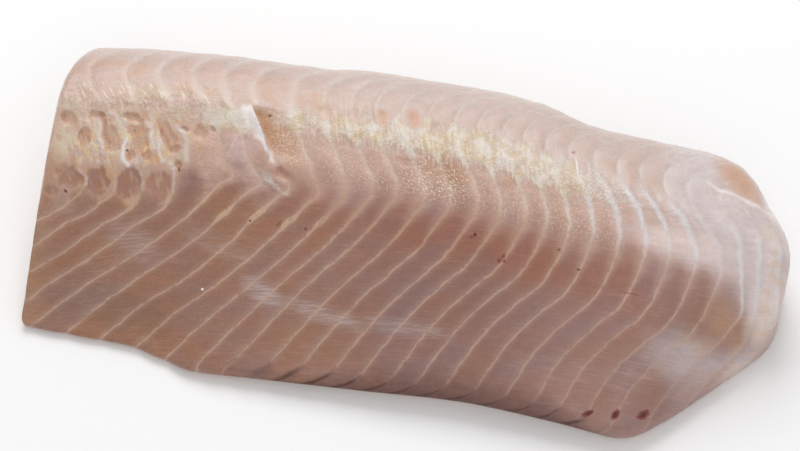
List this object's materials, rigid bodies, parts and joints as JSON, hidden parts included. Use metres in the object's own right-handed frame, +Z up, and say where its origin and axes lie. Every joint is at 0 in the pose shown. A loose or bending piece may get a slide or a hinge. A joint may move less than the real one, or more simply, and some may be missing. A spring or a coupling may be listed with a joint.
{
  "type": "sturgeon fillet",
  "caption": "Thick skinless side of raw sturgeon with slanted muscle segments and a pale fat seam along its crest, cut square at one end and on a slant at the other; a food item that lies flat.",
  "frame": {"origin": "middle of the footprint, at the flat underside", "axes": "+X along the fish from the square cut to the slanted cut, -Y towards the thin belly edge, +Z up"},
  "size_m": [0.2992, 0.1392, 0.0481],
  "materials": {
    "flesh": "moist raw fish flesh, pinkish beige with cream lines between the muscle segments"
  },
  "bodies": {
    "root": {"fillet": "flesh"}
  },
  "joints": []
}
